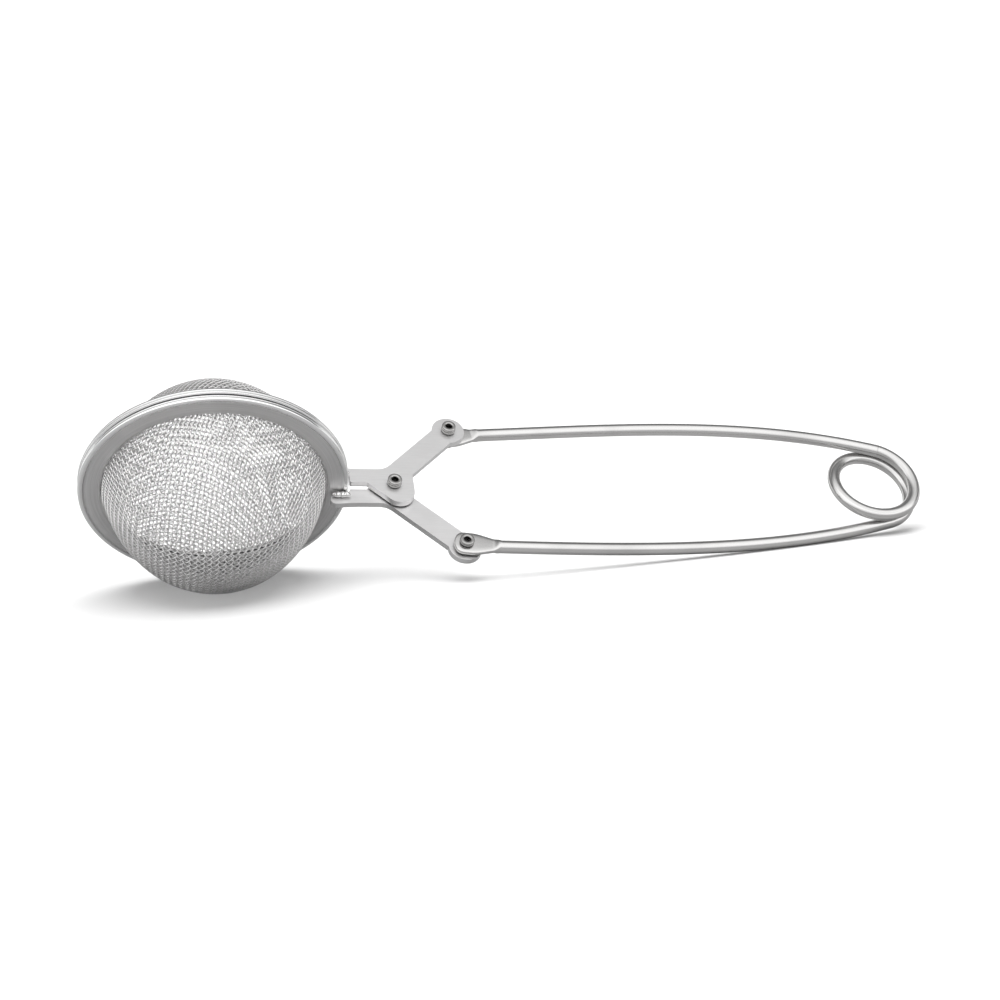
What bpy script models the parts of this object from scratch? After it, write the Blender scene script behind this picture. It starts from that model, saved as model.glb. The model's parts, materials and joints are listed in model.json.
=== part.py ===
"""Snap-ball tea infuser: two wire-mesh cups on scissor levers, worked by a sprung wire handle.

Everything is laid out in the plane of the scissors. U runs from the ball to the coil,
V runs across from the near cup to the far cup, and W is the axis of every pivot. The
central pivot is the zero of that plane. An empty then rolls and tips the plane until the
object lies on its near side, with a rim, a cup and the wire on the floor, z = 0.
"""

import bpy
import bmesh
from math import acos, atan2, cos, pi, radians, sin, sqrt
from mathutils import Matrix, Vector

MM = 0.001

# Ball
RIM_OUTER = 22.5 * MM          # outer radius of the two pressed rims
RIM_INNER = 18.9 * MM          # radius where the mesh starts
RIM_THICK = 1.15 * MM
RIM_ROUND = 0.42 * MM          # rounding of the rolled outer edge
SPLIT_GAP = 0.3 * MM           # air between the closed rims
BALL_TO_PIVOT = 30.45 * MM
CUP_RADIUS = 18.6 * MM
CUP_DEPTH = 18.5 * MM
CUP_WALL = 0.6 * MM
CUP_SHOULDER = 1.6             # how late the wall turns in towards the crown
CUP_FULLNESS = 2.1             # how square the shoulder is

# Levers
PLATE = 1.1 * MM
PLATE_GAP = 0.3 * MM           # between the two plates at the pivot
PLATE_EDGE = 0.25 * MM
STRIP_INNER = 0.2 * MM         # the strip's edge beside the split plane
STRIP_OUTER = 3.25 * MM
FINGER_TIP = -11.0 * MM        # U of the end that is welded on the rim
FINGER_INNER = 1.6 * MM
FINGER_OUTER = 3.55 * MM
ARM_HALF_WIDTH = 2.1 * MM
EYE_RADIUS = 2.9 * MM          # round end of the arm
LOBE_CENTRE = (0.85 * MM, -1.6 * MM)
LOBE_RADIUS = 2.6 * MM

# Pivots, in the plane of the scissors
HANDLE_PIVOT = (11.1 * MM, 12.7 * MM)
COIL_CENTRE = 89.0 * MM
PLATE_HOLE = 1.0 * MM

# Tubular rivets
SHANK = 0.8 * MM
BORE = 0.55 * MM
HEAD_RADIUS = 1.25 * MM
HEAD_HEIGHT = 1.15 * MM
LOW_HEAD_HEIGHT = 0.75 * MM    # on the near arm, whose spoon lies over its lever
FOOT_RADIUS = 1.75 * MM
FOOT_HEIGHT = 0.6 * MM
HEAD_GAP = 0.15 * MM

# Spring wire
WIRE = 1.13 * MM               # radius
COIL_RADIUS = 7.4 * MM         # to the middle of the wire
COIL_PITCH = 2.55 * MM
COIL_RISE = 2.4 * MM           # of the coil's middle above the levers' middle plane
ARM_SLOPE = radians(17)        # angle at which each arm runs into the coil
SPOON_THICK = 0.9 * MM         # flattened ends of the wire
SPOON_HALF_WIDTH = 2.15 * MM
SPOON_BACK = 2.1 * MM          # from the handle pivot to the tip
SPOON_LENGTH = 6.0 * MM        # from the handle pivot to where the wire is round again
NEAR_EYE = 1.0 * MM
FAR_EYE = 1.3 * MM             # wide, because the far end floats on its rivet

WELD_LENGTH = 2.8 * MM
WELD_RADIUS = 0.5 * MM

ROUND_STEPS = 44
WIRE_SIDES = 10


def clear_scene():
    for old in list(bpy.data.objects):
        bpy.data.objects.remove(old, do_unlink=True)


def steel(name, colour, roughness):
    mat = bpy.data.materials.new(name)
    mat.use_nodes = True
    shader = mat.node_tree.nodes["Principled BSDF"]
    shader.inputs["Base Color"].default_value = (*colour, 1.0)
    shader.inputs["Metallic"].default_value = 1.0
    shader.inputs["Roughness"].default_value = roughness
    return mat


def axis_empty(name, u, v, parent):
    empty = bpy.data.objects.new(name, None)
    empty.empty_display_size = 0.005
    empty.location = (u, v, 0)
    empty.parent = parent
    bpy.context.collection.objects.link(empty)
    return empty


def add_object(name, bm, mat, axis):
    """Makes an object of a mesh drawn in the scissors plane, with its origin on its axis."""
    bmesh.ops.recalc_face_normals(bm, faces=bm.faces)
    mesh = bpy.data.meshes.new(name)
    bm.to_mesh(mesh)
    bm.free()
    mesh.materials.append(mat)
    mesh.transform(Matrix.Translation(-axis.location))
    mesh.shade_smooth()
    mesh.set_sharp_from_angle(angle=radians(35))
    obj = bpy.data.objects.new(name, mesh)
    obj.parent = axis
    bpy.context.collection.objects.link(obj)
    return obj


def lathe(profile, centre, axis, steps, closed):
    """Turns (radius, height) points about the V or the W axis through centre."""
    bm = bmesh.new()
    rings = []
    for radius, height in profile:
        ring = []
        for i in range(steps if radius > 0 else 1):
            a = 2 * pi * i / steps
            if axis == "V":
                offset = Vector((radius * cos(a), height, radius * sin(a)))
            else:
                offset = Vector((radius * cos(a), radius * sin(a), height))
            ring.append(bm.verts.new(Vector(centre) + offset))
        rings.append(ring)
    pairs = list(zip(rings, rings[1:]))
    if closed:
        pairs.append((rings[-1], rings[0]))
    for low, high in pairs:
        for i in range(steps):
            j = (i + 1) % steps
            corners = [low[i % len(low)], low[j % len(low)]]
            corners += [high[j % len(high)], high[i % len(high)]]
            bm.faces.new(list(dict.fromkeys(corners)))
    return bm


def cup_radius(depth, radius, full_depth):
    inside = 1 - (depth / full_depth) ** CUP_SHOULDER
    return radius * max(inside, 0.0) ** (1 / CUP_FULLNESS)


def cup(name, side, mat, axis):
    """One mesh cup as a thin shell, open at the split plane. side is -1 near, 1 far."""
    steps = 9
    start = SPLIT_GAP / 2
    outer = []
    inner = []
    for i in range(steps + 1):
        along = sin(pi / 2 * i / steps)
        depth = CUP_DEPTH * along
        outer.append((cup_radius(depth, CUP_RADIUS, CUP_DEPTH), side * (start + depth)))
        full = CUP_DEPTH - CUP_WALL
        depth = full * along
        radius = cup_radius(depth, CUP_RADIUS - CUP_WALL, full)
        inner.append((radius, side * (start + depth)))
    outer[-1] = (0.0, side * (start + CUP_DEPTH))
    inner[-1] = (0.0, side * (start + CUP_DEPTH - CUP_WALL))
    profile = outer[::-1] + inner
    bm = lathe(profile, (-BALL_TO_PIVOT, 0, 0), "V", ROUND_STEPS, closed=False)
    return add_object(name, bm, mat, axis)


def rim(name, side, mat, axis):
    """A flat ring whose outer edge is rolled round."""
    low = SPLIT_GAP / 2
    high = low + RIM_THICK
    profile = [(RIM_INNER, low)]
    for turn, height in ((-1, low + RIM_ROUND), (1, high - RIM_ROUND)):
        for i in range(4):
            a = turn * pi / 2 * (1 - i / 3) if turn < 0 else pi / 2 * i / 3
            radius = RIM_OUTER - RIM_ROUND + RIM_ROUND * cos(a)
            profile.append((radius, height + RIM_ROUND * sin(a)))
    profile.append((RIM_INNER, high))
    profile = [(radius, side * height) for radius, height in profile]
    bm = lathe(profile, (-BALL_TO_PIVOT, 0, 0), "V", ROUND_STEPS, closed=True)
    return add_object(name, bm, mat, axis)


def fillet(before, corner, after, radius, steps):
    """Points of the arc that rounds one corner of an outline."""
    corner = Vector(corner)
    into = (Vector(before) - corner).normalized()
    out = (Vector(after) - corner).normalized()
    half = acos(max(-1.0, min(1.0, into.dot(out)))) / 2
    centre = corner + (into + out).normalized() * radius / sin(half)
    start = corner + into * radius * cos(half) / sin(half) - centre
    end = corner + out * radius * cos(half) / sin(half) - centre
    sweep = atan2(start.cross(end), start.dot(end))
    return [centre + Matrix.Rotation(sweep * i / steps, 2) @ start for i in range(steps + 1)]


def arc(centre, radius, start, end, steps):
    points = []
    for i in range(steps + 1):
        a = start + (end - start) * i / steps
        points.append(Vector((centre[0] + radius * cos(a), centre[1] + radius * sin(a))))
    return points


def lever_outline():
    """The far lever seen along W: finger, strip, pivot lobe, arm and round end."""
    eye = Vector(HANDLE_PIVOT)
    along = Vector((1, 1)).normalized()
    across = Vector((along.y, -along.x)) * ARM_HALF_WIDTH
    neck = sqrt(EYE_RADIUS ** 2 - ARM_HALF_WIDTH ** 2)
    inner_end = eye + across - along * neck
    outer_end = eye - across - along * neck
    lobe_edge = Vector(LOBE_CENTRE) + Vector((cos(radians(225)), sin(radians(225)))) * LOBE_RADIUS
    lobe_start = lobe_edge + Vector((-1, 1)) * (STRIP_INNER - lobe_edge.y)
    lobe_right = LOBE_CENTRE[0] + LOBE_RADIUS
    notch = Vector((lobe_right, inner_end.y - inner_end.x + lobe_right))
    outer_root = outer_end + along * ((STRIP_OUTER - outer_end.y) / along.y)
    step_u = -BALL_TO_PIVOT + RIM_OUTER + 0.35 * MM
    tip_low = Vector((FINGER_TIP, FINGER_INNER))
    tip_high = Vector((FINGER_TIP, FINGER_OUTER))
    step_high = Vector((step_u, FINGER_INNER))
    step_low = Vector((step_u, STRIP_INNER))
    shoulder = Vector((step_u + 1.2 * MM, STRIP_OUTER))
    tip_round = 0.9 * MM
    points = fillet(tip_high, tip_low, step_high, tip_round, 4)
    points += [step_high]
    points += fillet(step_high, step_low, lobe_start, 0.3 * MM, 2)
    points += [lobe_start]
    points += arc(LOBE_CENTRE, LOBE_RADIUS, radians(225), radians(360), 9)
    points += fillet((lobe_right, LOBE_CENTRE[1]), notch, inner_end, 0.5 * MM, 3)
    first = atan2(*(inner_end - eye).yx)
    last = atan2(*(outer_end - eye).yx)
    if last < first:
        last += 2 * pi
    points += arc(eye, EYE_RADIUS, first, last, 14)
    points += fillet(outer_end, outer_root, shoulder, 3.0 * MM, 4)
    points += [shoulder]
    points += fillet(shoulder, tip_high, tip_low, tip_round, 4)
    return points


def plate(outline, low, high):
    bm = bmesh.new()
    bottom = [bm.verts.new((p[0], p[1], low)) for p in outline]
    face = bm.faces.new(bottom)
    top = bmesh.ops.extrude_face_region(bm, geom=[face])["geom"]
    raised = [item for item in top if isinstance(item, bmesh.types.BMVert)]
    bmesh.ops.translate(bm, verts=raised, vec=(0, 0, high - low))
    return bm


def bore(target, centre, radius, low, high, axis):
    """Cuts a round hole along W through target."""
    bm = lathe([(0, low), (radius, low), (radius, high), (0, high)], centre, "W", 20, False)
    name = target.name + "_hole_" + str(len(target.modifiers))
    cutter = add_object(name, bm, target.data.materials[0], axis)
    cutter.hide_render = True
    cutter.display_type = "WIRE"
    cut = target.modifiers.new("hole", "BOOLEAN")
    cut.operation = "DIFFERENCE"
    cut.object = cutter


def lever(name, side, mat, axis):
    """side 1 is the far lever, with its plate above; side -1 is its mirror image below."""
    outline = [(p.x, side * p.y) for p in lever_outline()]
    near_face = side * PLATE_GAP / 2
    far_face = side * (PLATE_GAP / 2 + PLATE)
    low, high = sorted((near_face, far_face))
    bm = plate(outline, low, high)
    obj = add_object(name, bm, mat, axis)
    edge = obj.modifiers.new("edge", "BEVEL")
    edge.width = PLATE_EDGE
    edge.segments = 1
    edge.limit_method = "ANGLE"
    edge.angle_limit = radians(60)
    for centre in ((0, 0, 0), (HANDLE_PIVOT[0], side * HANDLE_PIVOT[1], 0)):
        bore(obj, centre, PLATE_HOLE, low - MM, high + MM, axis)
    return obj


def rivet(name, centre, foot, head, height, mat, axis):
    """A tubular rivet through a stack that lies between the heights foot and head."""
    under = foot - HEAD_GAP
    over = head + HEAD_GAP
    lip = 0.3 * MM
    profile = [
        (BORE, under - FOOT_HEIGHT),
        (FOOT_RADIUS - lip, under - FOOT_HEIGHT),
        (FOOT_RADIUS, under - FOOT_HEIGHT + lip),
        (FOOT_RADIUS, under),
        (SHANK, under),
        (SHANK, over),
        (HEAD_RADIUS, over),
        (HEAD_RADIUS, over + height - lip),
        (HEAD_RADIUS - lip, over + height),
        (BORE, over + height),
    ]
    bm = lathe(profile, (*centre, 0), "W", 20, closed=True)
    return add_object(name, bm, mat, axis)


def bezier(points, t):
    a, b, c, d = points
    s = 1 - t
    return a * s ** 3 + b * 3 * s * s * t + c * 3 * s * t * t + d * t ** 3


def arm_path(side):
    """Middle line of one arm, from its round-again point by the spoon to the coil."""
    spoon_w = -side * (PLATE_GAP / 2 + SPOON_THICK / 2)
    start = Vector((HANDLE_PIVOT[0] + SPOON_LENGTH, HANDLE_PIVOT[1] + 0.7 * MM, spoon_w))
    end = coil_point(0.0 if side > 0 else 1.0)
    end.y = abs(end.y)
    heading = Vector((cos(ARM_SLOPE), -sin(ARM_SLOPE), 0))
    lift = (end.z - start.z) / (end.x - start.x)
    reach = 25 * MM
    ends = [start, start + Vector((reach, 0.75 * MM, 0)), end - heading * reach, end]
    ends[2].z = end.z - lift * 0.2 * reach
    steps = 22
    points = [bezier(ends, i / steps) for i in range(steps + 1)]
    return [Vector((p.x, side * p.y, p.z)) for p in points]


def coil_point(part):
    """A point on the coil's middle line, from the far arm (0) to the near arm (1)."""
    turn = 3 * pi - 2 * ARM_SLOPE
    angle = pi / 2 - ARM_SLOPE - turn * part
    height = COIL_PITCH * turn / (2 * pi) * (0.5 - part)
    u = COIL_CENTRE + COIL_RADIUS * cos(angle)
    return Vector((u, COIL_RADIUS * sin(angle), height + COIL_RISE))


def tube(path, sections):
    """Sweeps closed sections, one for each point of path, and caps both ends."""
    bm = bmesh.new()
    rings = []
    last = len(path) - 1
    for i, point in enumerate(path):
        ahead = (path[min(i + 1, last)] - path[max(i - 1, 0)]).normalized()
        side = ahead.cross(Vector((0, 0, 1))).normalized()
        up = side.cross(ahead)
        ring = [bm.verts.new(point + side * a + up * b) for a, b in sections[i]]
        rings.append(ring)
    count = len(rings[0])
    for low, high in zip(rings, rings[1:]):
        for i in range(count):
            j = (i + 1) % count
            bm.faces.new([low[i], low[j], high[j], high[i]])
    bm.faces.new(rings[0])
    bm.faces.new(rings[-1])
    return bm


def wire_section(half_width, half_height):
    """A circle when both halves are equal, and a flat bar with round edges when they aren't."""
    points = []
    for i in range(WIRE_SIDES):
        a = 2 * pi * (i + 0.5) / WIRE_SIDES
        across = cos(a)
        up = sin(a)
        if half_width > 1.2 * half_height:
            up = max(-1.0, min(1.0, up * 1.25))
        points.append((half_width * across, half_height * up))
    return points


def spring_arm(name, side, hole, mat, axis):
    """An arm of the handle: a flattened spoon round its rivet, then round wire."""
    wire = arm_path(side)
    spoon_w = wire[0].z
    pivot = Vector((HANDLE_PIVOT[0], side * HANDLE_PIVOT[1], spoon_w))
    away = (wire[0] - pivot).normalized()
    path = []
    sections = []
    flat = SPOON_THICK / 2
    for along, share in ((-1.0, 0.35), (-0.8, 0.7), (-0.4, 0.95), (0.3, 1.0)):
        path.append(pivot + away * SPOON_BACK * along)
        sections.append(wire_section(SPOON_HALF_WIDTH * share, flat))
    for along, share in ((0.35, 1.0), (0.6, 0.85), (0.8, 0.3)):
        path.append(pivot + away * SPOON_LENGTH * along)
        width = WIRE + (SPOON_HALF_WIDTH - WIRE) * share
        height = flat if share > 0.5 else (flat + WIRE) / 2
        sections.append(wire_section(width, height))
    for point in wire:
        path.append(point)
        sections.append(wire_section(WIRE, WIRE))
    obj = add_object(name, tube(path, sections), mat, axis)
    centre = (HANDLE_PIVOT[0], side * HANDLE_PIVOT[1], 0)
    bore(obj, centre, hole, spoon_w - 2 * MM, spoon_w + 2 * MM, axis)
    return obj


def spring_coil(name, mat, axis):
    """The turns between the arms. Its ends stop just short of them."""
    steps = 46
    gap = 0.012
    parts = [gap + (1 - 2 * gap) * i / steps for i in range(steps + 1)]
    path = [coil_point(part) for part in parts]
    sections = [wire_section(WIRE, WIRE)] * len(path)
    return add_object(name, tube(path, sections), mat, axis)


def weld(name, side, mat, axis):
    """The bead in the corner between a lever's finger and its rim."""
    face = side * (SPLIT_GAP / 2 + RIM_THICK)
    v = face + side * (WELD_RADIUS + 0.15 * MM)
    w = PLATE_GAP / 2 + PLATE + WELD_RADIUS + 0.1 * MM if side > 0 else WELD_RADIUS
    u = FINGER_TIP + 0.4 * MM
    path = []
    sections = []
    for part, share in ((0, 0.4), (0.12, 0.85), (0.35, 1), (0.65, 1), (0.88, 0.85), (1, 0.4)):
        path.append(Vector((u + WELD_LENGTH * part, v, w)))
        sections.append(wire_section(WELD_RADIUS * share, WELD_RADIUS * share))
    return add_object(name, tube(path, sections), mat, axis)


def lowest(points, roll, pitch):
    """Height of the lowest point after a roll about U and a pitch about V."""
    across = Vector((-sin(pitch), cos(pitch) * sin(roll), cos(pitch) * cos(roll)))
    return min(across.dot(point) for point in points)


def rest_angles(nodes):
    """Roll and pitch at which the near rim, the near cup and the wire all touch the floor."""
    bpy.context.view_layer.update()
    groups = []
    for names in (("near_rim",), ("near_mesh",), ("near_arm", "coil")):
        chosen = [node for node in nodes if node.name in names]
        groups.append([node.matrix_world @ v.co for node in chosen for v in node.data.vertices])
    roll = radians(39.5)
    pitch = radians(5)
    nudge = 1e-4
    for _ in range(30):
        rim_z, cup_z, wire_z = [lowest(points, roll, pitch) for points in groups]
        first = rim_z - wire_z
        second = cup_z - wire_z
        rolled = [lowest(points, roll + nudge, pitch) for points in groups]
        tipped = [lowest(points, roll, pitch + nudge) for points in groups]
        a = (rolled[0] - rolled[2] - first) / nudge
        b = (tipped[0] - tipped[2] - first) / nudge
        c = (rolled[1] - rolled[2] - second) / nudge
        d = (tipped[1] - tipped[2] - second) / nudge
        det = a * d - b * c
        roll -= (d * first - b * second) / det
        pitch -= (a * second - c * first) / det
    return roll, pitch


def stand_on_floor(stance, nodes):
    """Moves the whole object so that its box is centred on the origin, with its foot at z = 0."""
    bpy.context.view_layer.update()
    points = [node.matrix_world @ vertex.co for node in nodes for vertex in node.data.vertices]
    low = Vector([min(p[i] for p in points) for i in range(3)])
    high = Vector([max(p[i] for p in points) for i in range(3)])
    stance.location -= Vector(((low.x + high.x) / 2, (low.y + high.y) / 2, low.z))


def build():
    clear_scene()
    mesh_steel = steel("mesh_steel", (0.62, 0.61, 0.60), 0.35)
    rim_steel = steel("rim_steel", (0.58, 0.57, 0.56), 0.38)
    lever_steel = steel("lever_steel", (0.74, 0.73, 0.72), 0.30)
    rivet_steel = steel("rivet_steel", (0.55, 0.54, 0.53), 0.22)
    wire_steel = steel("wire_steel", (0.60, 0.59, 0.58), 0.28)
    weld_steel = steel("weld_steel", (0.70, 0.69, 0.68), 0.30)

    stance = axis_empty("stance", 0, 0, None)
    handle = axis_empty("handle", COIL_CENTRE, 0, stance)
    far_handle = axis_empty("far_handle", COIL_CENTRE, 0, stance)
    near_jaw = axis_empty("near_jaw", HANDLE_PIVOT[0], -HANDLE_PIVOT[1], stance)
    far_jaw = axis_empty("far_jaw", 0, 0, stance)

    plate_top = PLATE_GAP / 2 + PLATE
    spoon_far = PLATE_GAP / 2 + SPOON_THICK
    nodes = [
        cup("near_mesh", -1, mesh_steel, near_jaw),
        cup("far_mesh", 1, mesh_steel, far_jaw),
        rim("near_rim", -1, rim_steel, near_jaw),
        rim("far_rim", 1, rim_steel, far_jaw),
        lever("near_lever", -1, lever_steel, near_jaw),
        lever("far_lever", 1, lever_steel, far_jaw),
        weld("near_weld", -1, weld_steel, near_jaw),
        weld("far_weld", 1, weld_steel, far_jaw),
        rivet("pivot_rivet", (0, 0), -plate_top, plate_top, HEAD_HEIGHT, rivet_steel, near_jaw),
        rivet("near_handle_rivet", (HANDLE_PIVOT[0], -HANDLE_PIVOT[1]), -plate_top, spoon_far,
              LOW_HEAD_HEIGHT, rivet_steel, near_jaw),
        rivet("far_handle_rivet", HANDLE_PIVOT, -spoon_far, plate_top, HEAD_HEIGHT,
              rivet_steel, far_jaw),
        spring_arm("near_arm", -1, NEAR_EYE, wire_steel, handle),
        spring_coil("coil", wire_steel, handle),
        spring_arm("far_arm", 1, FAR_EYE, wire_steel, far_handle),
    ]
    roll, pitch = rest_angles(nodes)
    stance.rotation_euler = (roll, pitch, 0)
    stand_on_floor(stance, nodes)


build()
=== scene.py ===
"""Looks of the snap-ball tea infuser: woven cups, pressed rims, blanked levers, rivets and spring wire.

Lengths are in millimetres in the plane of the scissors: U from the ball to the coil, V from
the near cup to the far cup, W along the pivots. The central pivot is the zero of that plane.
"""

import json
from math import acos, atan2, cos, hypot, pi, radians, sin, sqrt

import bmesh
import bpy
import numpy as np
from mathutils import Matrix, Vector, noise


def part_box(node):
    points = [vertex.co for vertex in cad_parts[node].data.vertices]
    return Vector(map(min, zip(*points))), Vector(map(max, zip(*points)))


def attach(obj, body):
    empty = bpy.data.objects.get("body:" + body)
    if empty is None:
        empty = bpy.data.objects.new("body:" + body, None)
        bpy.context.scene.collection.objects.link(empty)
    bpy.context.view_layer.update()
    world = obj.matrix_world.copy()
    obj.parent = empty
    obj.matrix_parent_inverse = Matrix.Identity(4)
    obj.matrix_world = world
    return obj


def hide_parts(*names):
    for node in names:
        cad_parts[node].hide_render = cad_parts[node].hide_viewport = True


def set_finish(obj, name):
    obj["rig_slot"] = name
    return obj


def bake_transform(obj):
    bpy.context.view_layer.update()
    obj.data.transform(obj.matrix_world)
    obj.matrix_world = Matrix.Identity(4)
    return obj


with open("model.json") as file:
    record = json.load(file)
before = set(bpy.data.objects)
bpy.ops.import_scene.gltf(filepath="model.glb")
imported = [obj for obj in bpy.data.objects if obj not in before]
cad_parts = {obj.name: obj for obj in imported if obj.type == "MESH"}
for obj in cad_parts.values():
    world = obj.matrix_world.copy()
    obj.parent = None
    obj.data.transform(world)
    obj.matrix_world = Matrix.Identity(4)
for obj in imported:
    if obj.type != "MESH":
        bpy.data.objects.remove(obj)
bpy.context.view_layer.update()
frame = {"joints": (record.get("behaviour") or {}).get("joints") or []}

MM = 0.001
joints = {joint["name"]: joint for joint in frame["joints"]}
ORIGIN = np.array(joints["jaw_open"]["pos_m"])
W_AXIS = np.array(joints["handle_squeeze"]["axis"])
W_AXIS = W_AXIS / np.linalg.norm(W_AXIS)
U_AXIS = np.array(joints["handle_squeeze"]["pos_m"]) - ORIGIN
V_AXIS = np.cross(W_AXIS, U_AXIS)
V_AXIS = V_AXIS / np.linalg.norm(V_AXIS)
U_AXIS = np.cross(V_AXIS, W_AXIS)
AXES = np.array((U_AXIS, V_AXIS, W_AXIS))


def to_world(points):
    """From millimetres in the scissors frame to metres in the object's frame."""
    return ORIGIN + MM * np.asarray(points, float) @ AXES


def to_local(point):
    """From metres in the object's frame to millimetres in the scissors frame."""
    return (np.array(point) - ORIGIN) @ AXES.T / MM


def middle_of(node):
    """Middle of a CAD node's box, in the scissors frame."""
    low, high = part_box(node)
    return to_local((low + high) / 2)


BALL_U = float(middle_of("near_rim")[0])
PIN_U, PIN_V = [float(abs(x)) for x in to_local(joints["near_lever_hinge"]["pos_m"])[:2]]
COIL_U = float(to_local(joints["handle_squeeze"]["pos_m"])[0])

# Ball
SPLIT = 0.15            # from the split plane to each rim
RIM_INNER = 18.75
RIM_OUTER = 22.5
RIM_FACE = SPLIT + 1.15
CUP_RADIUS = 18.6
CUP_DEPTH = 18.5
CUP_SHOULDER = 1.6
CUP_FULLNESS = 2.1
CUP_FLARE = 0.3         # where the weave is gripped by the rim
FLARE_DEPTH = 1.8
FLARE_REACH = 10.0      # the flare isn't scaled up nearer to the pole than this
MESH_PITCH = 0.8
MESH_WIRE = 0.125       # radius
MESH_WAVE = 1.03        # over and under, in wire radii
NET_COUNT = 48          # crossings along one quarter of the net
NET_LOW = -2.5
NET_FOLD = 0.15         # a crossing this close to the one behind it has folded back
NET_STRETCH = 1.4       # pitches after which a row counts as broken
NET_SAMPLES = 2
NET_SIDES = 6
NET_START = 0.2         # height at which the wires end under the rim
NEAR_TURN = radians(46)
FAR_TURN = radians(-15)

# Levers
PLATE_LOW = 0.15
PLATE_HIGH = 1.25
STRIP_INNER = 0.2
STRIP_OUTER = 3.25
FINGER_TIP = -11.0
FINGER_INNER = 1.6
FINGER_OUTER = 3.55
ARM_HALF_WIDTH = 2.1
EYE_RADIUS = 2.9
LOBE = (0.85, -1.6)
LOBE_RADIUS = 2.6
PLATE_HOLE = 1.0

# Rivets
BORE = 0.55
SHANK = 0.8
HEAD_RADIUS = 1.25
HEAD_HEIGHT = 1.15
LOW_HEAD_HEIGHT = 0.75
FOOT_RADIUS = 1.75
FOOT_HEIGHT = 0.6
HEAD_GAP = 0.15

# Spring wire
WIRE = 1.13             # radius
COIL_RADIUS = 7.4
COIL_PITCH = 2.55
COIL_RISE = 2.4         # of the coil's middle above the levers' middle plane
ARM_SLOPE = radians(17)
SPOON_HALF = 0.45       # half of the flattened thickness
SPOON_WIDTH = 2.2       # half of the flattened width
SPOON_BACK = 2.1
SPOON_LENGTH = 6.0
EYES = {-1: 1.0, 1: 1.3}
COIL_TURN = 3 * pi - 2 * ARM_SLOPE
WIRE_SIDES = 24
COIL_STEPS = 170
ARM_REACH = 25.0        # of the curve's handles at both ends of an arm
ARM_SWELL = 0.75        # outwards over the first handle
ARM_RISE = 0.8          # share of the mean rise over the first handle
ARM_LEVEL = 0.2         # and over the last
GRAIN_ALONG = 0.10


# ---------------------------------------------------------------- meshes

def unit(rows):
    """Each row at length one."""
    return rows / np.linalg.norm(rows, axis=-1, keepdims=True)


def signed_volume(points, quads):
    """Positive when the quads face outward. Only its sign is used."""
    a, b, c, d = (points[quads[:, k]] for k in range(4))
    return float((np.cross(a, b) * c).sum() + (np.cross(a, c) * d).sum())


def make(name, points, quads, materials, slot, grain=None, extra=None):
    """One object from local points and quads, with its faces looking outward."""
    points = np.asarray(points, float)
    quads = np.asarray(quads, int)
    if signed_volume(points, quads) < 0:
        quads = quads[:, ::-1]
    mesh = bpy.data.meshes.new(name)
    mesh.vertices.add(len(points))
    mesh.vertices.foreach_set("co", to_world(points).astype(np.float32).ravel())
    mesh.loops.add(quads.size)
    mesh.loops.foreach_set("vertex_index", quads.astype(np.int32).ravel())
    mesh.polygons.add(len(quads))
    mesh.polygons.foreach_set("loop_start", np.arange(0, quads.size, 4, dtype=np.int32))
    mesh.update(calc_edges=True)
    mesh.validate()
    mesh.shade_smooth()
    if grain is not None:
        layer = mesh.attributes.new("grain", "FLOAT_VECTOR", "POINT")
        layer.data.foreach_set("vector", np.asarray(grain, np.float32).ravel())
    for key, values in (extra or {}).items():
        layer = mesh.attributes.new(key, "FLOAT", "POINT")
        layer.data.foreach_set("value", np.asarray(values, np.float32).ravel())
    for material in materials:
        mesh.materials.append(material)
    obj = bpy.data.objects.new(name, mesh)
    bpy.context.scene.collection.objects.link(obj)
    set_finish(obj, slot)
    return obj


def ring_quads(rings, sides, closed=False):
    """Quads between rings of points that follow each other."""
    i = np.arange(rings if closed else rings - 1)[:, None]
    j = np.arange(sides)[None, :]
    k = (j + 1) % sides
    n = (i + 1) % rings
    return np.stack((i * sides + j, i * sides + k, n * sides + k, n * sides + j), -1).reshape(-1, 4)


def cap_quads(first, sides, flip):
    """Closes one end of a tube. sides has to be even."""
    fans = [(first, first + k, first + k + 1, first + k + 2) for k in range(1, sides - 1, 2)]
    return [fan[::-1] if flip else fan for fan in fans]


def sweep(path, up, lifts, halves, power, sides):
    """A closed tube along path. Its section is lifts high along up, halves wide and square by power."""
    ahead = unit(np.gradient(path, axis=0))
    side = unit(np.cross(ahead, up))
    lift = np.cross(side, ahead)
    angle = 2 * pi * (np.arange(sides) + 0.5) / sides
    bend = 2.0 / np.asarray(power, float).reshape(-1, 1)
    across = np.sign(np.cos(angle)) * np.abs(np.cos(angle)) ** bend * np.asarray(halves).reshape(-1, 1)
    above = np.sign(np.sin(angle)) * np.abs(np.sin(angle)) ** bend * np.asarray(lifts).reshape(-1, 1)
    points = path[:, None] + side[:, None] * across[..., None] + lift[:, None] * above[..., None]
    quads = ring_quads(len(path), sides)
    ends = cap_quads(0, sides, False) + cap_quads((len(path) - 1) * sides, sides, True)
    return points.reshape(-1, 3), np.vstack((quads, ends))


def lathe(profile, steps, centre, axis):
    """Turns a closed loop of (radius, height) points about the V or the W axis."""
    profile = np.asarray(profile, float)
    angle = 2 * pi * np.arange(steps) / steps
    wide = profile[:, :1] * np.cos(angle)
    deep = profile[:, :1] * np.sin(angle)
    high = np.repeat(profile[:, 1:], steps, axis=1)
    order = (wide, high, deep) if axis == "V" else (wide, deep, high)
    points = np.stack(order, -1) + np.asarray(centre, float)
    return points.reshape(-1, 3), ring_quads(len(profile), steps, closed=True)


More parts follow.
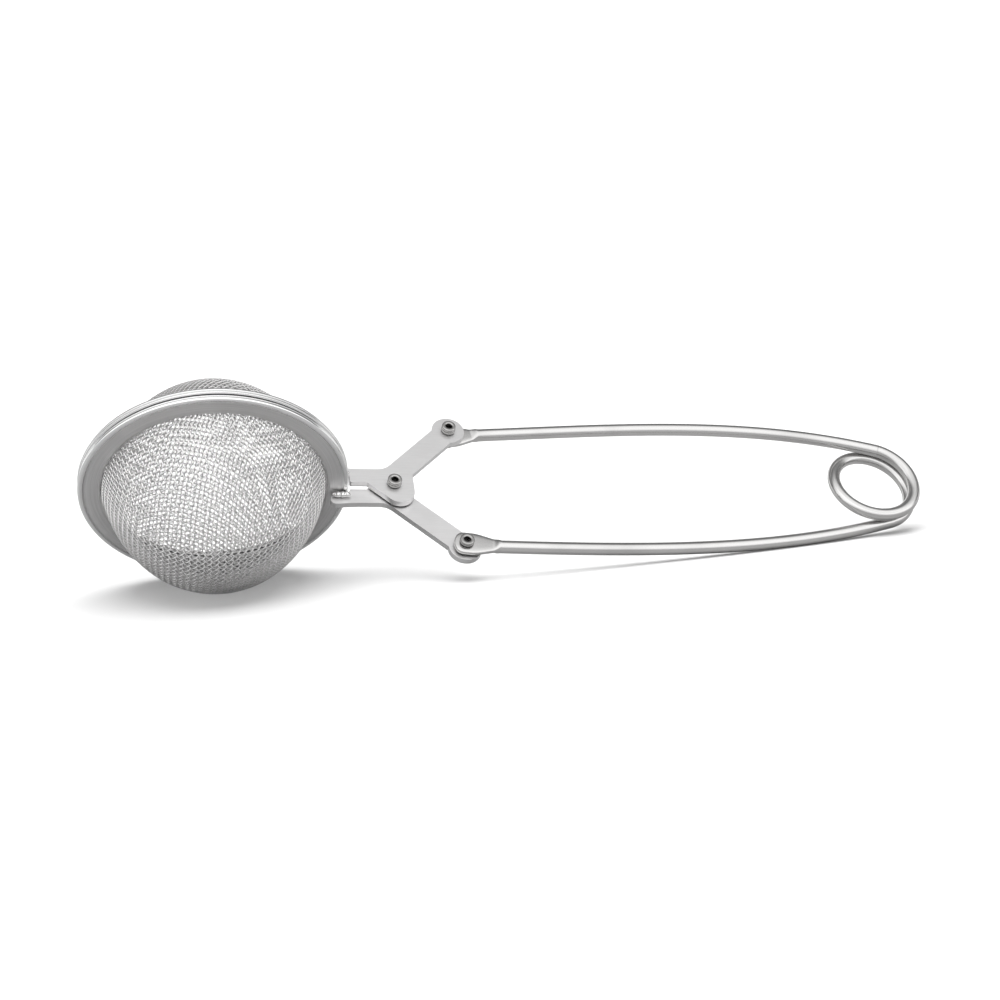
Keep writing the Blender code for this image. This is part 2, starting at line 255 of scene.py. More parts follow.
def fillet(before, corner, after, radius, steps):
    """Points of the arc that rounds one corner of an outline."""
    corner = Vector(corner)
    into = (Vector(before) - corner).normalized()
    out = (Vector(after) - corner).normalized()
    half = acos(max(-1.0, min(1.0, into.dot(out)))) / 2
    centre = corner + (into + out).normalized() * radius / sin(half)
    start = corner + into * radius * cos(half) / sin(half) - centre
    end = corner + out * radius * cos(half) / sin(half) - centre
    sweep_angle = atan2(start.cross(end), start.dot(end))
    return [centre + Matrix.Rotation(sweep_angle * i / steps, 2) @ start for i in range(steps + 1)]


def rounded(corners, steps=4):
    """A closed loop with each (x, y, radius) corner rounded."""
    loop = []
    count = len(corners)
    for i, (x, y, radius) in enumerate(corners):
        before = corners[i - 1][:2]
        after = corners[(i + 1) % count][:2]
        loop += fillet(before, (x, y), after, radius, steps)
    return loop


def arc(centre, radius, start, end, steps):
    """Points of an arc from one angle to another."""
    angles = [start + (end - start) * i / steps for i in range(steps + 1)]
    return [Vector((centre[0] + radius * cos(a), centre[1] + radius * sin(a))) for a in angles]


def drill(obj, centre, radius, low, high):
    """Cuts a round hole along W."""
    points, quads = lathe([(0.001, low), (radius, low), (radius, high), (0.001, high)], 48, centre, "W")
    cutter = make(obj.name + "_drill", points, quads, [obj.data.materials[0]], obj["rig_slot"])
    cut = obj.modifiers.new("hole", "BOOLEAN")
    cut.operation = "DIFFERENCE"
    cut.object = cutter
    return cutter


def settle(obj, cutters=()):
    """Applies an object's modifiers and removes its cutters."""
    bpy.context.view_layer.update()
    graph = bpy.context.evaluated_depsgraph_get()
    mesh = bpy.data.meshes.new_from_object(obj.evaluated_get(graph), preserve_all_data_layers=True,
                                           depsgraph=graph)
    obj.modifiers.clear()
    old = obj.data
    obj.data = mesh
    bpy.data.meshes.remove(old)
    for cutter in cutters:
        bpy.data.objects.remove(cutter, do_unlink=True)
    return obj


# ---------------------------------------------------------------- materials

def material(name):
    """A new material with its node tree and its Principled shader."""
    made = bpy.data.materials.new(name)
    made.use_nodes = True
    return made, made.node_tree, made.node_tree.nodes["Principled BSDF"]


def node(tree, kind, **settings):
    """A node whose settings go to the input of that name, or else to the node itself."""
    made = tree.nodes.new(kind)
    for key, value in settings.items():
        if key in made.inputs:
            made.inputs[key].default_value = value
        else:
            setattr(made, key, value)
    return made


def noise_of(tree, vector, scale, detail=3.0, roughness=0.6):
    """Noise at a vector."""
    made = node(tree, "ShaderNodeTexNoise", Scale=scale, Detail=detail, Roughness=roughness)
    tree.links.new(vector, made.inputs["Vector"])
    return made.outputs["Fac"]


def ramp(tree, value, low, high, out_low, out_high):
    """Maps low..high to out_low..out_high."""
    made = node(tree, "ShaderNodeMapRange")
    tree.links.new(value, made.inputs["Value"])
    for key, number in zip(("From Min", "From Max", "To Min", "To Max"), (low, high, out_low, out_high)):
        made.inputs[key].default_value = number
    return made.outputs["Result"]


def blend_colour(tree, value, first, second):
    """Mixes two colours, each a tuple or a socket, by value."""
    made = node(tree, "ShaderNodeMix", data_type="RGBA")
    tree.links.new(value, made.inputs[0])
    for socket, colour in ((made.inputs[6], first), (made.inputs[7], second)):
        if isinstance(colour, tuple):
            socket.default_value = (*colour, 1.0)
        else:
            tree.links.new(colour, socket)
    return made.outputs[2]


def steel(name, dark, bright, rough, streak, bump, polish_and_sheen=None):
    """Brushed steel. streak is the grain's density; polish is the brighter colour of the places that the
    polish attribute marks, partly real wear and partly a painted highlight on rounded edges.
    """
    made, tree, shader = material(name)
    shader.inputs["Metallic"].default_value = 1.0
    grain = node(tree, "ShaderNodeAttribute", attribute_name="grain").outputs["Vector"]
    place = node(tree, "ShaderNodeTexCoord").outputs["Object"]
    lines = noise_of(tree, grain, streak, 4.0, 0.65)
    blotch = noise_of(tree, place, 90.0, 2.0, 0.5)
    speck = noise_of(tree, place, 2600.0, 2.0, 0.6)
    colour = blend_colour(tree, ramp(tree, lines, 0.3, 0.7, 0.0, 1.0), dark, bright)
    stain = tuple(0.86 * c for c in dark)
    colour = blend_colour(tree, ramp(tree, blotch, 0.52, 0.78, 0.0, 0.55), colour, stain)
    low, high = rough
    shine = ramp(tree, lines, 0.3, 0.7, low, high)
    mixed = node(tree, "ShaderNodeMath", operation="MULTIPLY_ADD")
    tree.links.new(speck, mixed.inputs[0])
    mixed.inputs[1].default_value = 0.10
    tree.links.new(shine, mixed.inputs[2])
    shine = mixed.outputs[0]
    # Marked places get a lower roughness, which is real polish, and a brighter colour, which is partly
    # wear and partly a painted highlight.
    if polish_and_sheen:
        wear_and_sheen = node(tree, "ShaderNodeAttribute", attribute_name="polish_and_sheen").outputs["Fac"]
        colour = blend_colour(tree, wear_and_sheen, colour, polish_and_sheen)
        pick = node(tree, "ShaderNodeMix", data_type="FLOAT")
        tree.links.new(wear_and_sheen, pick.inputs[0])
        tree.links.new(shine, pick.inputs[2])
        pick.inputs[3].default_value = low * 0.55
        shine = pick.outputs[0]
    tree.links.new(colour, shader.inputs["Base Color"])
    tree.links.new(shine, shader.inputs["Roughness"])
    relief = node(tree, "ShaderNodeMath", operation="MULTIPLY_ADD")
    tree.links.new(speck, relief.inputs[0])
    relief.inputs[1].default_value = 0.35
    tree.links.new(lines, relief.inputs[2])
    rise = node(tree, "ShaderNodeBump", Strength=bump, Distance=0.00003)
    tree.links.new(relief.outputs[0], rise.inputs["Height"])
    tree.links.new(rise.outputs["Normal"], shader.inputs["Normal"])
    return made


mesh_steel = steel("woven_steel", (0.60, 0.595, 0.595), (0.84, 0.835, 0.83), (0.08, 0.16), 1.0, 0.15)
# The rims' last colour paints the rolled edges brighter: partly polish, partly a painted highlight.
rim_steel = steel("pressed_steel", (0.62, 0.615, 0.615), (0.74, 0.735, 0.735), (0.24, 0.34), 1.0, 0.35,
                  polish_and_sheen=(0.82, 0.82, 0.82))
lever_steel = steel("plate_steel", (0.715, 0.71, 0.71), (0.765, 0.76, 0.76), (0.28, 0.38), 1.0, 0.15)
# Brighter colour for the levers' bevel faces: the tumbled edges are polished, and the extra brightness
# is a painted highlight.
edge_polish_and_highlight = steel("tumbled_edge_and_highlight", (0.88, 0.875, 0.875), (0.97, 0.965, 0.965), (0.16, 0.28), 1.0, 0.15)
rivet_steel = steel("turned_steel", (0.26, 0.255, 0.25), (0.50, 0.495, 0.49), (0.10, 0.20), 1.0, 0.2)
wire_steel = steel("drawn_steel", (0.50, 0.495, 0.49), (0.66, 0.655, 0.65), (0.10, 0.18), 1.0, 0.30)
weld_steel = steel("welded_steel", (0.70, 0.695, 0.69), (0.90, 0.895, 0.89), (0.12, 0.26), 1.0, 0.4)


# ---------------------------------------------------------------- woven cups

NET_RADIUS = CUP_RADIUS - 2 * MESH_WIRE
NET_DEPTH = CUP_DEPTH - 2 * MESH_WIRE


def cup_gap(point):
    """Zero on the cup's middle surface, with its slope. The point is (across, height, across)."""
    x, h, z = point
    reach = max(hypot(x, z), 1e-9)
    level = max(h, 0.0) / NET_DEPTH
    gap = (reach / NET_RADIUS) ** CUP_FULLNESS - 1 + level ** CUP_SHOULDER
    out = CUP_FULLNESS / NET_RADIUS * (reach / NET_RADIUS) ** (CUP_FULLNESS - 1) / reach
    rise = CUP_SHOULDER / NET_DEPTH * level ** (CUP_SHOULDER - 1)
    return gap, np.array((out * x, rise, out * z))


def on_cup(guess, near_points, flat_axis=None):
    """The point on the cup one pitch away from each given point."""
    point = np.array(guess, float)
    for _ in range(12):
        gap, slope = cup_gap(point)
        rows = [slope]
        values = [gap]
        for other in near_points:
            away = point - other
            rows.append(2 * away)
            values.append(away @ away - MESH_PITCH ** 2)
        if flat_axis is not None:
            row = np.zeros(3)
            row[flat_axis] = 1.0
            rows.append(row)
            values.append(point[flat_axis])
        step = np.linalg.lstsq(np.array(rows), -np.array(values), rcond=None)[0]
        size = np.linalg.norm(step)
        point = point + step * min(1.0, 0.5 / max(size, 1e-9))
        if size < 1e-7:
            break
    return point


def net_quadrant(count):
    """Crossings of a square net laid over one quarter of the cup without stretching its wires."""
    net = np.full((count, count, 3), np.nan)
    net[0, 0] = (0.0, NET_DEPTH, 0.0)
    for i in range(1, count):
        last = net[i - 1, 0]
        ahead = last - (net[i - 2, 0] if i > 1 else np.array((-MESH_PITCH, NET_DEPTH, 0.0)))
        net[i, 0] = on_cup(last + ahead, [last], flat_axis=2)
        net[0, i] = net[i, 0][[2, 1, 0]]
    for i in range(1, count):
        for j in range(1, count):
            first, second, behind = net[i - 1, j], net[i, j - 1], net[i - 1, j - 1]
            if np.isnan(first).any() or np.isnan(second).any():
                continue
            point = on_cup(first + second - behind, [first, second])
            if point[1] < NET_LOW or np.linalg.norm(point - behind) < NET_FOLD:
                continue
            net[i, j] = point
    return net


NET = net_quadrant(NET_COUNT)


def crossing(i, j):
    """A crossing of the whole net, mirrored from the quarter, or None outside it."""
    if abs(i) >= len(NET) or abs(j) >= len(NET):
        return None
    x, h, z = NET[abs(i), abs(j)]
    if np.isnan(h):
        return None
    return np.array((x if i >= 0 else -x, h, z if j >= 0 else -z))


def smooth_through(points, pieces):
    """Points on a smooth curve through the given ones, with the place of each along the row."""
    padded = np.vstack((2 * points[0] - points[1], points, 2 * points[-1] - points[-2]))
    made = []
    place = []
    for k in range(len(points) - 1):
        a, b, c, d = padded[k:k + 4]
        for s in range(pieces):
            t = s / pieces
            made.append(0.5 * (2 * b + (c - a) * t + (2 * a - 5 * b + 4 * c - d) * t * t
                               + (3 * b - a - 3 * c + d) * t ** 3))
            place.append(k + t)
    made.append(points[-1])
    place.append(len(points) - 1.0)
    return np.array(made), np.array(place)


def unbroken(row):
    """The stretch of a row round its middle in which each crossing is next to the last."""
    near = {k: point for k, point in row}
    if 0 not in near:
        return []
    kept = [(0, near[0])]
    for step in (1, -1):
        k = step
        while k in near and np.linalg.norm(near[k] - near[k - step]) < NET_STRETCH * MESH_PITCH:
            kept.append((k, near[k]))
            k += step
    return sorted(kept, key=lambda pair: pair[0])


def weave(name, side, turn, family, body):
    """All the wires of one direction in one cup. family 0 runs one way, 1 the other way."""
    reach = len(NET) - 1
    all_points = []
    all_quads = []
    all_grain = []
    total = 0
    for line in range(-reach, reach + 1):
        row = []
        for k in range(-reach, reach + 1):
            point = crossing(line, k) if family == 0 else crossing(k, line)
            if point is not None:
                row.append((k, point))
        if len(row) < 3:
            continue
        row = unbroken(row)
        if len(row) < 3:
            continue
        keys = [k for k, _ in row]
        path, place = smooth_through(np.array([p for _, p in row]), NET_SAMPLES)
        place = place + keys[0]
        slopes = np.array([cup_gap(p)[1] for p in path])
        normal = unit(slopes)
        sign = 1 if family == 0 else -1
        wave = sign * (-1) ** line * np.cos(pi * place) * MESH_WIRE * MESH_WAVE
        path = path + normal * wave[:, None]
        reach_out = np.maximum(np.hypot(path[:, 0], path[:, 2]), FLARE_REACH)
        flare = CUP_FLARE * np.exp(-(path[:, 1] / FLARE_DEPTH) ** 2)
        path[:, (0, 2)] *= (1 + flare / reach_out)[:, None]
        high = path[:, 1] > NET_START
        if high.sum() < 4:
            continue
        first, last = np.argmax(high), len(high) - 1 - np.argmax(high[::-1])
        path, normal = path[first:last + 1], normal[first:last + 1]
        count = len(path)
        points, quads = sweep(path, normal, np.full(count, MESH_WIRE), np.full(count, MESH_WIRE),
                              np.full(count, 2.0), NET_SIDES)
        along = np.repeat(np.arange(count) / NET_SAMPLES * MESH_PITCH, NET_SIDES)
        spin = np.tile(2 * pi * np.arange(NET_SIDES) / NET_SIDES, count)
        grain = np.stack((along * 0.35 + line * 7.1, np.cos(spin), np.sin(spin)), -1)
        all_points.append(points)
        all_quads.append(quads + total)
        all_grain.append(grain)
        total += len(points)
    points = np.vstack(all_points)
    x = points[:, 0] * cos(turn) - points[:, 2] * sin(turn)
    z = points[:, 0] * sin(turn) + points[:, 2] * cos(turn)
    local = np.stack((BALL_U + x, side * (SPLIT + points[:, 1]), z), -1)
    obj = make(name, local, np.vstack(all_quads), [mesh_steel], "mesh_steel", np.vstack(all_grain))
    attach(obj, body)
    return obj


for side, body, turn, prefix in ((-1, "near_jaw", NEAR_TURN, "near"), (1, "far_jaw", FAR_TURN, "far")):
    warp = weave(prefix + "_warp", side, turn, 0, body)
    weave(prefix + "_weft", side, turn, 1, body)
    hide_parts(prefix + "_mesh")


# ---------------------------------------------------------------- rims

def rim(name, side, body, node_name):
    """A hem of sheet folded over the edge of the mesh, with a rolled outer edge."""
    corners = [
        (RIM_INNER, SPLIT, 0.12),
        (RIM_OUTER - 0.30, SPLIT, 0.14),
        (RIM_OUTER - 0.06, SPLIT + 0.20, 0.12),
        (RIM_OUTER - 0.06, SPLIT + 0.40, 0.10),
        (RIM_OUTER - 0.30, SPLIT + 0.50, 0.04),
        (RIM_OUTER, SPLIT + 0.60, 0.12),
        (RIM_OUTER, RIM_FACE, 0.36),
        (RIM_OUTER - 0.75, RIM_FACE, 0.30),
        (RIM_OUTER - 1.05, RIM_FACE - 0.10, 0.40),
        (RIM_INNER + 0.35, RIM_FACE - 0.10, 0.40),
        (RIM_INNER, RIM_FACE - 0.45, 0.16),
    ]
    loop = rounded(corners, 5)
    profile = [(p.x, side * p.y) for p in loop]
    steps = 200
    points, quads = lathe(profile, steps, (BALL_U, 0, 0), "V")
    # Brighter colour over the rolled outer edge and, more weakly, the inner edge: partly real polish,
    # partly a painted highlight.
    edge = np.array([np.clip((p.x - (RIM_OUTER - 0.95)) / 0.35, 0, 1) for p in loop])
    inner = np.array([np.clip((RIM_INNER + 0.25 - p.x) / 0.2, 0, 1) * 0.35 for p in loop])
    polish_and_sheen = np.repeat(np.maximum(edge, inner), steps)
    around = points - np.array((BALL_U, 0, 0))
    radius = np.hypot(around[:, 0], around[:, 2])
    grain = np.stack((around[:, 0] * 0.06, radius * 5.0 + around[:, 1] * 3.0, around[:, 2] * 0.06), -1)
    obj = make(name, points, quads, [rim_steel], "rim_steel", grain, {"polish_and_sheen": polish_and_sheen})
    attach(obj, body)
    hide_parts(node_name)


rim("near_rim_hem", -1, "near_jaw", "near_rim")
rim("far_rim_hem", 1, "far_jaw", "far_rim")


# ---------------------------------------------------------------- levers

def lever_outline():
    """The far lever seen along W: finger, strip, pivot lobe, arm and round end."""
    eye = Vector((PIN_U, PIN_V))
    along = Vector((1, 1)).normalized()
    across = Vector((along.y, -along.x)) * ARM_HALF_WIDTH
    neck = sqrt(EYE_RADIUS ** 2 - ARM_HALF_WIDTH ** 2)
    inner_end = eye + across - along * neck
    outer_end = eye - across - along * neck
    lobe_edge = Vector(LOBE) + Vector((cos(radians(225)), sin(radians(225)))) * LOBE_RADIUS
    lobe_start = lobe_edge + Vector((-1, 1)) * (STRIP_INNER - lobe_edge.y)
    lobe_right = LOBE[0] + LOBE_RADIUS
    notch = Vector((lobe_right, inner_end.y - inner_end.x + lobe_right))
    outer_root = outer_end + along * ((STRIP_OUTER - outer_end.y) / along.y)
    step_u = BALL_U + RIM_OUTER + 0.35
    tip_low = Vector((FINGER_TIP, FINGER_INNER))
    tip_high = Vector((FINGER_TIP, FINGER_OUTER))
    step_high = Vector((step_u, FINGER_INNER))
    step_low = Vector((step_u, STRIP_INNER))
    shoulder = Vector((step_u + 1.2, STRIP_OUTER))
    points = fillet(tip_high, tip_low, step_high, 0.9, 10)
    points += fillet(tip_low, step_high, step_low, 0.25, 4)
    points += fillet(step_high, step_low, lobe_start, 0.3, 5)
    points += fillet(step_low, lobe_start, lobe_edge, 0.25, 4)
    points += arc(LOBE, LOBE_RADIUS, radians(225), radians(360), 28)
    points += fillet((lobe_right, LOBE[1]), notch, inner_end, 0.5, 6)
    first = atan2(*(inner_end - eye).yx)
    last = atan2(*(outer_end - eye).yx)
    if last < first:
        last += 2 * pi
    points += arc(eye, EYE_RADIUS, first, last, 44)
    points += fillet(outer_end, outer_root, shoulder, 3.0, 10)
    points += fillet(outer_root, shoulder, tip_high, 1.0, 4)
    points += fillet(shoulder, tip_high, tip_low, 0.9, 10)
    return points


def lever(name, side, body, node_name):
    """A blanked plate with tumbled edges and its two rivet holes."""
    outline = [(p.x, side * p.y) for p in lever_outline()]
    low, high = sorted((side * PLATE_LOW, side * PLATE_HIGH))
    mesh = bpy.data.meshes.new(name)
    bm = bmesh.new()
    bottom = [bm.verts.new(to_world((u, v, low))) for u, v in outline]
    face = bm.faces.new(bottom)
    top = bmesh.ops.extrude_face_region(bm, geom=[face])["geom"]
    raised = [item for item in top if isinstance(item, bmesh.types.BMVert)]
    bmesh.ops.translate(bm, verts=raised, vec=Vector(W_AXIS) * (high - low) * MM)
    bmesh.ops.recalc_face_normals(bm, faces=bm.faces)
    bm.to_mesh(mesh)
    bm.free()
    mesh.materials.append(lever_steel)
    mesh.materials.append(edge_polish_and_highlight)
    obj = bpy.data.objects.new(name, mesh)
    bpy.context.scene.collection.objects.link(obj)
    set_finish(obj, "lever_steel")
    cutters = [
        drill(obj, (0, 0, 0), PLATE_HOLE, low - 1, high + 1),
        drill(obj, (PIN_U, side * PIN_V, 0), PLATE_HOLE, low - 1, high + 1),
    ]
    mesh.shade_smooth()
    edge = obj.modifiers.new("edge", "BEVEL")
    edge.width = 0.30 * MM
    edge.segments = 4
    edge.limit_method = "ANGLE"
    edge.angle_limit = radians(60)
    edge.harden_normals = True
    # The bevel faces take the bright edge material, a painted highlight along the rounded edges.
    edge.material = 1
    settle(obj, cutters)
    local = np.array([to_local(v.co) for v in obj.data.vertices])
    grain = np.stack((local[:, 0] * 0.25, local[:, 1] * 3.5, local[:, 2] * 3.5), -1)
    layer = obj.data.attributes.new("grain", "FLOAT_VECTOR", "POINT")
    layer.data.foreach_set("vector", grain.astype(np.float32).ravel())
    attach(obj, body)
    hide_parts(node_name)


lever("near_lever_plate", -1, "near_jaw", "near_lever")
lever("far_lever_plate", 1, "far_jaw", "far_lever")


# ---------------------------------------------------------------- rivets

def rivet(name, centre, foot, head, height, body, node_name):
    """A tube whose upper end is curled over and whose lower end is flared."""
    under = foot - HEAD_GAP
    over = head + HEAD_GAP
    top = over + height
    waist = height / HEAD_HEIGHT
    corners = [
        (BORE, under - FOOT_HEIGHT, 0.18),
        (FOOT_RADIUS, under - FOOT_HEIGHT, 0.38),
        (FOOT_RADIUS, under, 0.16),
        (SHANK, under, 0.05),
        (SHANK, over, 0.05),
        (HEAD_RADIUS, over, 0.12),
        (HEAD_RADIUS, over + 0.36 * waist, 0.10),
        (HEAD_RADIUS - 0.22, over + 0.42 * waist, 0.04),
        (HEAD_RADIUS - 0.22, over + 0.54 * waist, 0.04),
        (HEAD_RADIUS - 0.02, over + 0.60 * waist, 0.08),
        (HEAD_RADIUS - 0.02, top, 0.20),
        (BORE, top, 0.24),
    ]
    profile = [(p.x, p.y) for p in rounded(corners, 5)]
    points, quads = lathe(profile, 56, (*centre, 0), "W")
    local = points - np.array((*centre, 0))
    radius = np.hypot(local[:, 0], local[:, 1])
    grain = np.stack((local[:, 0] * 0.4, radius * 4 + local[:, 2] * 5, local[:, 1] * 0.4), -1)
    obj = make(name, points, quads, [rivet_steel], "rivet_steel", grain)
    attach(obj, body)
    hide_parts(node_name)


SPOON_TOP = PLATE_LOW + 2 * SPOON_HALF
rivet("pivot_tube", (0, 0), -PLATE_HIGH, PLATE_HIGH, HEAD_HEIGHT, "near_jaw", "pivot_rivet")
rivet("near_handle_tube", (PIN_U, -PIN_V), -PLATE_HIGH, SPOON_TOP, LOW_HEAD_HEIGHT,
      "near_jaw", "near_handle_rivet")
rivet("far_handle_tube", (PIN_U, PIN_V), -SPOON_TOP, PLATE_HIGH, HEAD_HEIGHT,
      "far_jaw", "far_handle_rivet")


# ---------------------------------------------------------------- spring wire

def coil_point(part):
    """A point of the coil's middle line, from the far arm at 0 to the near arm at 1."""
    angle = pi / 2 - ARM_SLOPE - COIL_TURN * part
    height = COIL_RISE + COIL_PITCH * COIL_TURN / (2 * pi) * (0.5 - part)
    return np.array((COIL_U + COIL_RADIUS * cos(angle), COIL_RADIUS * sin(angle), height))


def arm_path(side, steps):
    """Middle line of one arm, from behind the spoon to the coil."""
    start = np.array((PIN_U + SPOON_LENGTH, PIN_V + 0.7, -side * (PLATE_LOW + SPOON_HALF)))
    end = coil_point(0.0 if side > 0 else 1.0)
    end[1] = abs(end[1])
    heading = np.array((cos(ARM_SLOPE), -sin(ARM_SLOPE), 0))
    lift = (end[2] - start[2]) / (end[0] - start[0])
    first = start + np.array((ARM_REACH, ARM_SWELL, lift * ARM_REACH * ARM_RISE))
    last = end - heading * ARM_REACH
    last[2] = end[2] - lift * ARM_LEVEL * ARM_REACH
    t = np.linspace(0, 1, steps)[:, None]
    s = 1 - t
    path = start * s ** 3 + first * 3 * s * s * t + last * 3 * s * t * t + end * t ** 3
    return path * np.array((1, side, 1))


def smooth_step(x):
    """Eases from 0 to 1."""
    x = np.clip(x, 0, 1)
    return x * x * (3 - 2 * x)


def wire_grain(path, sides, start):
    """Grain that runs along the wire."""
    steps = np.linalg.norm(np.diff(path, axis=0), axis=1)
    along = start + np.concatenate(([0], np.cumsum(steps)))
    spin = 2 * pi * (np.arange(sides) + 0.5) / sides
    return np.stack((np.repeat(along * GRAIN_ALONG, sides), np.tile(np.cos(spin) * 2.6, len(path)),
                     np.tile(np.sin(spin) * 2.6, len(path))), -1)


UP = np.array((0.0, 0.0, 1.0))


def spring_arm(name, side, body, node_name):
    """One arm: a flattened spoon with its eye, then round wire. Gives the wire's length."""
    wire = arm_path(side, 90)
    pivot = np.array((PIN_U, side * PIN_V, wire[0][2]))
    away = unit(wire[0] - pivot)
    reach = float(np.linalg.norm(wire[0] - pivot))
    x = np.concatenate((np.linspace(-SPOON_BACK, -0.9, 9), np.linspace(-0.6, 4.2, 13),
                        np.linspace(4.4, reach, 12)))
    tip = np.clip(-(x + 0.3) / (SPOON_BACK - 0.3), 0, 0.995)
    taper = 1 - smooth_step((x - 0.8) / (reach - 0.8))
    halves = (WIRE + (SPOON_WIDTH - WIRE) * taper) * np.sqrt(1 - tip ** 2.4)
    rise = smooth_step((x - 4.5) / (reach - 4.7))
    lifts = SPOON_HALF + (WIRE - SPOON_HALF) * rise
    lifts = lifts * (1 - 0.5 * tip ** 6)
    power = 2 + 3.2 * (1 - smooth_step((x - 4.2) / (reach - 4.2)))
    path = np.vstack((pivot + away * x[:, None], wire[1:]))
    rest = np.ones(len(wire) - 1)
    lifts = np.concatenate((lifts, WIRE * rest))
    halves = np.concatenate((halves, WIRE * rest))
    power = np.concatenate((power, 2 * rest))
    points, quads = sweep(path, UP, lifts, halves, power, WIRE_SIDES)
    grain = wire_grain(path, WIRE_SIDES, 0.0)
    obj = make(name, points, quads, [wire_steel], "wire_steel", grain)
    cutter = drill(obj, (PIN_U, side * PIN_V, 0), EYES[side], wire[0][2] - 2, wire[0][2] + 2)
    settle(obj, [cutter])
    obj.data.shade_smooth()
    obj.data.set_sharp_from_angle(angle=radians(50))
    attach(obj, body)
    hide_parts(node_name)
    return grain[-1][0] / GRAIN_ALONG


spring_arm("near_spring_arm", -1, "handle_near", "near_arm")
far_length = spring_arm("far_spring_arm", 1, "handle_far", "far_arm")

turns = np.array([coil_point(part) for part in np.linspace(0.0, 1.0, COIL_STEPS)])
round_wire = np.full(COIL_STEPS, WIRE)
coil_points, coil_quads = sweep(turns, UP, round_wire, round_wire, np.full(COIL_STEPS, 2.0), WIRE_SIDES)
spring_coil = make("spring_coil", coil_points, coil_quads, [wire_steel], "wire_steel",
                   wire_grain(turns, WIRE_SIDES, far_length))
spring_coil.data.set_sharp_from_angle(angle=radians(50))
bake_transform(spring_coil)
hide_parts("coil")


# ---------------------------------------------------------------- welds

def weld(name, side, body, node_name):
    """A lumpy bead in the corner between a lever's finger and its rim."""
    rings = 30
    sides = 16
    length = 3.2
    start = FINGER_TIP + 0.25
    v = side * (RIM_FACE + 0.62)
    w = PLATE_HIGH + 0.52 if side > 0 else 0.44
    part = np.linspace(0, 1, rings)
    path = np.stack((start + length * part, v + 0.05 * np.sin(part * 19),
                     w + 0.05 * np.cos(part * 23)), -1)
    round_end = np.sqrt(np.clip(1 - np.abs(2 * part - 1) ** 3.2, 0.02, 1))
    ripple = 1 + 0.10 * np.sin(part * 26) + 0.07 * np.sin(part * 47 + 1)
    size = 0.50 * round_end * ripple
    points, quads = sweep(path, UP, size * 0.95, size, np.full(rings, 2.0), sides)
    for k, point in enumerate(points):
        centre = path[k // sides]
        bump = 1 + 0.10 * noise.noise(Vector(point * 2.3))
        points[k] = centre + (point - centre) * bump
    obj = make(name, points, quads, [weld_steel], "weld_steel", points * 2.0)
    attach(obj, body)
    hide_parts(node_name)


weld("near_weld_bead", -1, "near_jaw", "near_weld")
weld("far_weld_bead", 1, "far_jaw", "far_weld")


# ---------------------------------------------------------------- floor, light and camera

FLOOR_REACH = 60.0      # metres
FLOOR_GLOW = 0.02       # near the object
GLOW_FROM = 0.16        # metres from the middle
GLOW_TO = 0.8
FLOOR_PALE = 0.85       # to the camera
FLOOR_DIM = 0.39        # to every other ray
TENT_LIGHT = 1.65
TENT_FILL = 0.25        # to diffuse rays
TENT_FRONT = (-0.22, -0.975, 0.0)
TENT = [                # degrees up from the horizon in front, and the tone there
    (0, 0.62), (10, 0.85), (25, 1.0), (66, 0.98), (88, 0.73),
    (106, 0.18), (150, 0.10), (164, 0.64), (180, 0.68),
]


def floor():
    """The pale floor. The camera sees it paler than reflections and bounced light do."""
    mesh = bpy.data.meshes.new("floor")
    reach = FLOOR_REACH
    corners = [(-reach, -reach, 0), (reach, -reach, 0), (reach, reach, 0), (-reach, reach, 0)]
    mesh.from_pydata(corners, [], [(0, 1, 2, 3)])
    made, tree, shader = material("pale_floor")
    path = node(tree, "ShaderNodeLightPath")
    pale = blend_colour(tree, path.outputs["Is Camera Ray"], (FLOOR_DIM,) * 3, (FLOOR_PALE,) * 3)
    tree.links.new(pale, shader.inputs["Base Color"])
    shader.inputs["Roughness"].default_value = 0.9
    shader.inputs["Specular IOR Level"].default_value = 0.05
    shader.inputs["Emission Color"].default_value = (1, 1, 1, 1)
    place = node(tree, "ShaderNodeTexCoord").outputs["Object"]
    away = node(tree, "ShaderNodeVectorMath", operation="LENGTH")
    tree.links.new(place, away.inputs[0])
    glow = ramp(tree, away.outputs["Value"], GLOW_FROM, GLOW_TO, FLOOR_GLOW, 1.0)
    tree.links.new(glow, shader.inputs["Emission Strength"])
    mesh.materials.append(made)
    obj = bpy.data.objects.new("floor", mesh)
    bpy.context.scene.collection.objects.link(obj)


def softbox(name, place, target, size, radiance):
    """A rectangular lamp of the given brightness that the steel doesn't mirror."""
    lamp = bpy.data.lights.new(name, "AREA")
    lamp.shape = "RECTANGLE"
    lamp.size, lamp.size_y = size
    lamp.energy = radiance * pi * size[0] * size[1]
    obj = bpy.data.objects.new(name, lamp)
    obj.location = place
    obj.rotation_euler = (Vector(target) - Vector(place)).to_track_quat("-Z", "Y").to_euler()
    obj.visible_glossy = False
    bpy.context.scene.collection.objects.link(obj)


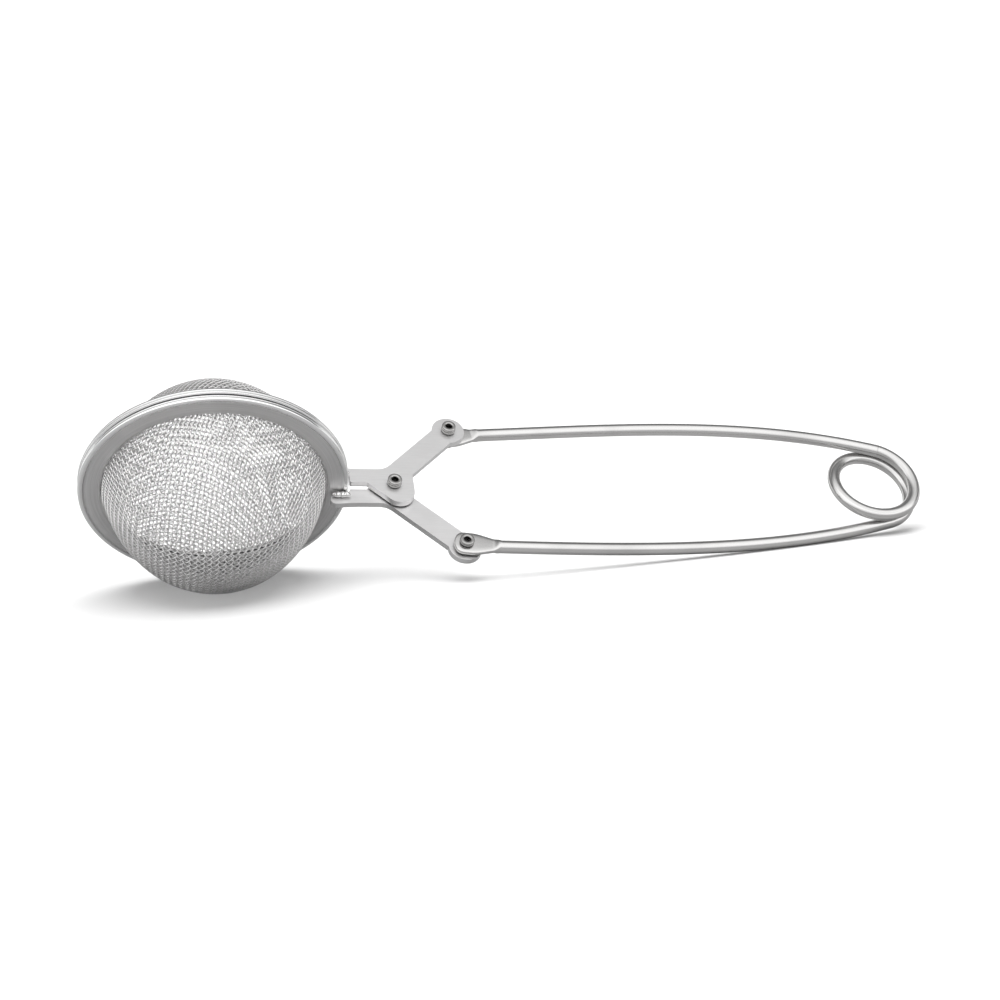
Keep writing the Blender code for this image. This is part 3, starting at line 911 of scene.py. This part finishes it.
def studio():
    """A light tent: each tone is for one angle, from the horizon in front, up and over to the back."""
    world = bpy.data.worlds.new("studio")
    world.use_nodes = True
    tree = world.node_tree
    backdrop = tree.nodes["Background"]
    place = node(tree, "ShaderNodeTexCoord").outputs["Generated"]
    split = node(tree, "ShaderNodeSeparateXYZ")
    ahead = node(tree, "ShaderNodeVectorMath", operation="DOT_PRODUCT")
    ahead.inputs[1].default_value = TENT_FRONT
    angle = node(tree, "ShaderNodeMath", operation="ARCTAN2")
    share = node(tree, "ShaderNodeMath", operation="DIVIDE")
    share.inputs[1].default_value = pi
    tones = node(tree, "ShaderNodeValToRGB")
    tree.links.new(place, split.inputs[0])
    tree.links.new(place, ahead.inputs[0])
    tree.links.new(split.outputs["Z"], angle.inputs[0])
    tree.links.new(ahead.outputs["Value"], angle.inputs[1])
    tree.links.new(angle.outputs[0], share.inputs[0])
    tree.links.new(share.outputs[0], tones.inputs[0])
    stops = tones.color_ramp.elements
    while len(stops) < len(TENT):
        stops.new(0.5)
    for stop, (degrees_up, tone) in zip(stops, TENT):
        stop.position = degrees_up / 180
        stop.color = (tone, tone, tone, 1)
    path = node(tree, "ShaderNodeLightPath")
    soft = blend_colour(tree, path.outputs["Is Diffuse Ray"], tones.outputs[0], (TENT_FILL,) * 3)
    tree.links.new(soft, backdrop.inputs["Color"])
    backdrop.inputs["Strength"].default_value = TENT_LIGHT
    bpy.context.scene.world = world


floor()
studio()
softbox("overhead", (0.0, 0.02, 0.50), (0, 0, 0), (0.7, 0.6), 3.3)
bpy.context.scene.view_settings.view_transform = "Standard"
bpy.context.scene.view_settings.look = "None"

AZIMUTH = radians(20.603)
ELEVATION = radians(47.434)
ROLL = radians(16.126)
DISTANCE = 299.05
OFFSET = (18.435, -2.026)
forward = np.array((sin(AZIMUTH) * cos(ELEVATION), cos(AZIMUTH) * cos(ELEVATION), -sin(ELEVATION)))
level = np.array((cos(AZIMUTH), -sin(AZIMUTH), 0.0))
above = np.cross(level, forward)
right = cos(ROLL) * level + sin(ROLL) * above
upward = cos(ROLL) * above - sin(ROLL) * level
eye = -DISTANCE * forward + OFFSET[0] * right + OFFSET[1] * upward

lens = bpy.data.cameras.new("camera")
lens.lens = 62.42
lens.sensor_width = 36.0
lens.clip_start = 0.01
lens.clip_end = 100.0
camera = bpy.data.objects.new("camera", lens)
turned = np.stack((right @ AXES, upward @ AXES, -forward @ AXES), 1)
camera.matrix_world = Matrix.Translation(Vector(to_world(eye))) @ Matrix(turned.tolist()).to_4x4()
bpy.context.scene.collection.objects.link(camera)
bpy.context.scene.camera = camera
